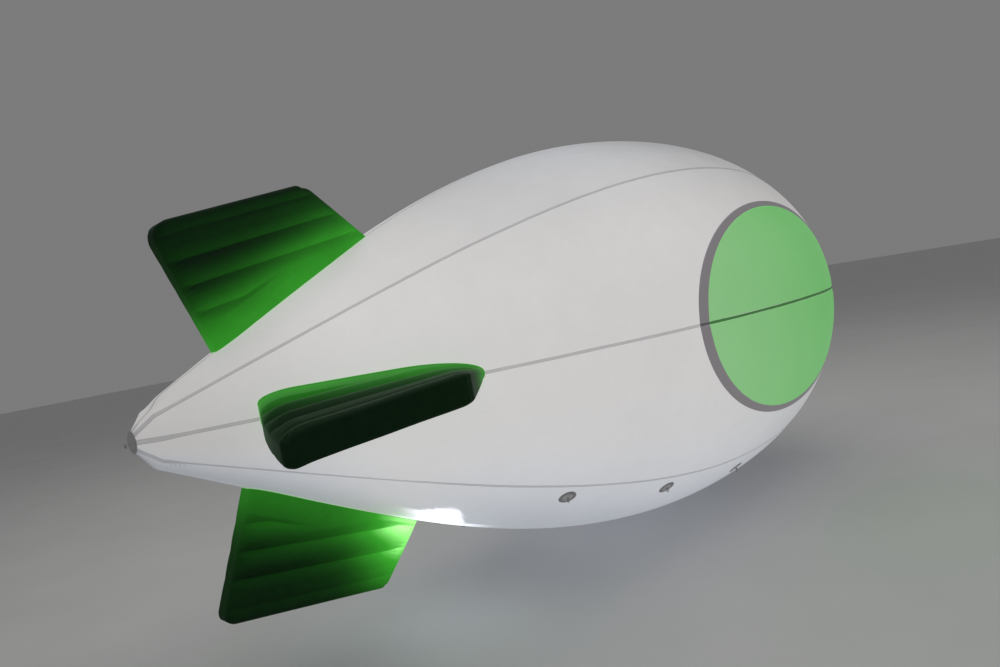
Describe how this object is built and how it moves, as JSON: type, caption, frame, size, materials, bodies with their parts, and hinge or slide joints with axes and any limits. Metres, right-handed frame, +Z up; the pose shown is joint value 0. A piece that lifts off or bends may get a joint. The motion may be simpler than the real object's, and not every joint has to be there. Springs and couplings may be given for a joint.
{
  "type": "advertising blimp balloon",
  "caption": "Inflated, inwardly lit display blimp: white gored teardrop hull with green tube fins, oval green side panels and tether rings.",
  "frame": {"origin": "centre of the enclosed air, on the hull's axis 2.92 m forward of the tail's end", "axes": "+X along the hull's axis towards the nose, +Z up, +Y to port"},
  "size_m": [5.061, 2.4126, 2.4126],
  "materials": {
    "envelope": "white translucent coated fabric, satin, lit from inside",
    "seam_tape": "double layer of the white skin, satin, darker where the light comes through",
    "fin_skin": "green coated fabric, semi-gloss",
    "fin_tape": "green coated fabric tape, satin",
    "roundel_field": "green print on the white skin, satin",
    "roundel_border": "grey print on the white skin, satin",
    "patch": "grey coated fabric patch, satin",
    "dark_fitting": "black moulded plastic and zip cloth",
    "ring_metal": "plated steel wire"
  },
  "bodies": {
    "root": {"gore_top_starboard": "envelope", "gore_upper_starboard": "envelope", "gore_lower_starboard": "envelope", "gore_bottom_starboard": "envelope", "gore_bottom_port": "envelope", "gore_lower_port": "envelope", "gore_upper_port": "envelope", "gore_top_port": "envelope", "seam_top": "seam_tape", "seam_upper_starboard": "seam_tape", "seam_starboard": "seam_tape", "seam_lower_starboard": "seam_tape", "seam_bottom": "seam_tape", "seam_lower_port": "seam_tape", "seam_port": "seam_tape", "seam_upper_port": "seam_tape", "fin_top": "fin_skin", "fin_root_tape_top": "fin_tape", "fin_starboard": "fin_skin", "fin_root_tape_starboard": "fin_tape", "fin_bottom": "fin_skin", "fin_root_tape_bottom": "fin_tape", "fin_port": "fin_skin", "fin_root_tape_port": "fin_tape", "roundel_field_starboard_upper": "roundel_field", "roundel_border_starboard_upper": "roundel_border", "roundel_field_starboard_lower": "roundel_field", "roundel_border_starboard_lower": "roundel_border", "roundel_field_port_upper": "roundel_field", "roundel_border_port_upper": "roundel_border", "roundel_field_port_lower": "roundel_field", "roundel_border_port_lower": "roundel_border", "tether_patch_aft_starboard": "patch", "tether_ring_aft_starboard": "ring_metal", "tether_patch_mid_starboard": "patch", "tether_ring_mid_starboard": "ring_metal", "tether_patch_fore_starboard": "patch", "tether_ring_fore_starboard": "ring_metal", "tether_patch_aft_port": "patch", "tether_ring_aft_port": "ring_metal", "tether_patch_mid_port": "patch", "tether_ring_mid_port": "ring_metal", "tether_patch_fore_port": "patch", "tether_ring_fore_port": "ring_metal", "tether_patch_tail": "patch", "tether_ring_tail": "ring_metal", "tether_patch_nose": "patch", "tether_ring_nose": "ring_metal", "lamp_zip_flap": "dark_fitting", "cable_gland": "dark_fitting", "air_valve": "patch"}
  },
  "joints": []
}
